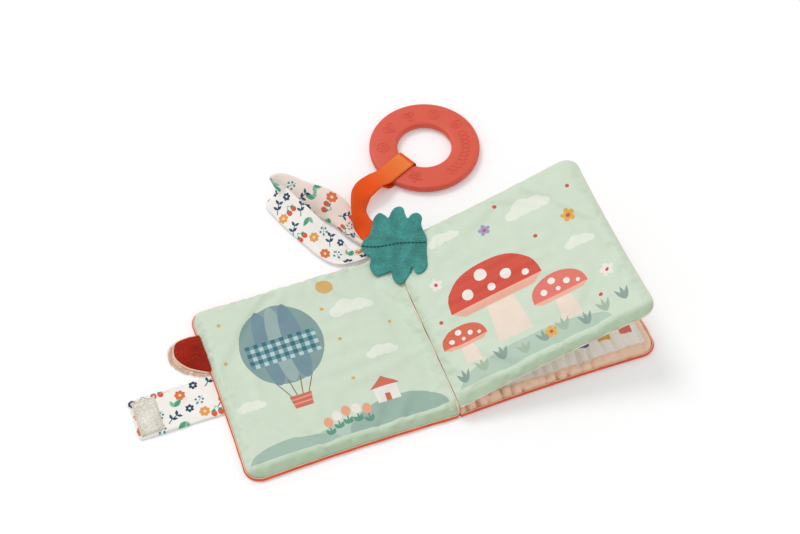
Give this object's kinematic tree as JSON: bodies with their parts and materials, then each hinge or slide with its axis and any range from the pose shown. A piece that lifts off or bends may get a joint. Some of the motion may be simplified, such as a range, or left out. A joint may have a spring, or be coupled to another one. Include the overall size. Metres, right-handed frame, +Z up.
{
  "type": "crinkle cloth book",
  "caption": "Padded cloth book for a baby, open, with a lifted middle leaf, teether ring on a ribbon, felt leaf, carrying loop, closing strap and terry tab.",
  "frame": {"origin": "on the floor under the middle of the spine strip", "axes": "+X across the pages towards the back cover's fore edge, +Y up the pages towards the teether ring, +Z up"},
  "size_m": [0.365, 0.2739, 0.0586],
  "materials": {
    "mint_print": "satin-faced polyester in pale mint, printed",
    "cream_print": "satin-faced polyester in cream, printed",
    "red_velour": "short-pile velour in orange red",
    "cream_binding": "plain woven tape in cream",
    "green_felt": "pressed felt in teal green",
    "coral_silicone": "matt moulded silicone in coral",
    "orange_ribbon": "ribbed grosgrain ribbon in orange",
    "floral_cotton": "white woven cotton with a small floral print",
    "wadding": "loose polyester wadding in white",
    "crinkle_film": "thin clear crackling film",
    "fastener_cream": "touch-and-close tape in cream",
    "red_terry": "looped terry in deep red",
    "peach_plush": "long-pile plush in peach"
  },
  "bodies": {
    "back_cover": {"back_outer_panel": "red_velour", "back_batting": "wadding", "back_crinkle_film": "crinkle_film", "back_inner_panel": "cream_print", "loop_patch": "fastener_cream", "gutter_web": "cream_binding", "felt_leaf_root": "green_felt", "carrying_loop_root": "floral_cotton", "ribbon_root": "orange_ribbon"},
    "front_cover": {"front_outer_panel": "red_velour", "front_batting": "wadding", "front_crinkle_film": "crinkle_film", "front_inner_panel": "mint_print", "felt_leaf_left_half": "green_felt", "strap_root": "floral_cotton"},
    "spine": {"spine_strip": "red_velour"},
    "middle_leaf": {"leaf_binding": "cream_binding", "leaf_upper_panel": "mint_print", "leaf_crinkle_film": "crinkle_film", "leaf_batting": "wadding", "leaf_lower_panel": "mint_print", "felt_leaf_right_half": "green_felt"},
    "strap_run": {"strap_run": "floral_cotton"},
    "strap_tip": {"strap_tip": "floral_cotton", "hook_patch": "fastener_cream"},
    "tab": {"plush_tab": "peach_plush", "terry_tab": "red_terry"},
    "carrying_loop": {"carrying_loop": "floral_cotton"},
    "ribbon_run": {"ribbon_run": "orange_ribbon"},
    "ribbon_loop": {"ribbon_loop": "orange_ribbon"},
    "teether_ring": {"teether_ring": "coral_silicone"}
  },
  "joints": [
    {"name": "spine_fold", "type": "hinge", "parent": "back_cover", "child": "spine", "pos_m": [0, 0, 0.0138], "axis": [0, 1, 0], "range_deg": [0, 18]},
    {"name": "front_cover_hinge", "type": "hinge", "parent": "spine", "child": "front_cover", "pos_m": [0, 0, 0.0138], "axis": [0, 1, 0], "range_deg": [0, 162]},
    {"name": "middle_leaf_hinge", "type": "hinge", "parent": "back_cover", "child": "middle_leaf", "pos_m": [0, 0, 0.012], "axis": [0, 1, 0], "range_deg": [-135, 17.5]},
    {"name": "loop_swing", "type": "hinge", "parent": "back_cover", "child": "carrying_loop", "pos_m": [-0.025, 0.0795, 0.0036], "axis": [0.5764, 0.8171, 0], "range_deg": [0, 14]},
    {"name": "ribbon_swing", "type": "hinge", "parent": "back_cover", "child": "ribbon_run", "pos_m": [-0.007, 0.099, 0.0063], "axis": [1, 0, 0], "range_deg": [0, 60]},
    {"name": "ribbon_bend", "type": "hinge", "parent": "ribbon_run", "child": "ribbon_loop", "pos_m": [0.013, 0.1345, 0.0127], "axis": [0.4321, -0.9018, 0], "range_deg": [-30, 30]},
    {"name": "ring_spin", "type": "hinge", "parent": "ribbon_loop", "child": "teether_ring", "pos_m": [0.06296, 0.15844, 0.004], "axis": [0, 0, 1], "continuous": true},
    {"name": "strap_bend", "type": "hinge", "parent": "front_cover", "child": "strap_run", "pos_m": [-0.1536, 0.002, 0.0019], "axis": [0, 1, 0], "range_deg": [0, 90]},
    {"name": "strap_fold", "type": "hinge", "parent": "strap_run", "child": "strap_tip", "pos_m": [-0.1806, 0.002, 0.0019], "axis": [0, 1, 0], "range_deg": [0, 90]},
    {"name": "tab_bend", "type": "hinge", "parent": "front_cover", "child": "tab", "pos_m": [-0.152, 0.037, 0.0048], "axis": [0, 1, 0], "range_deg": [0, 90]}
  ]
}
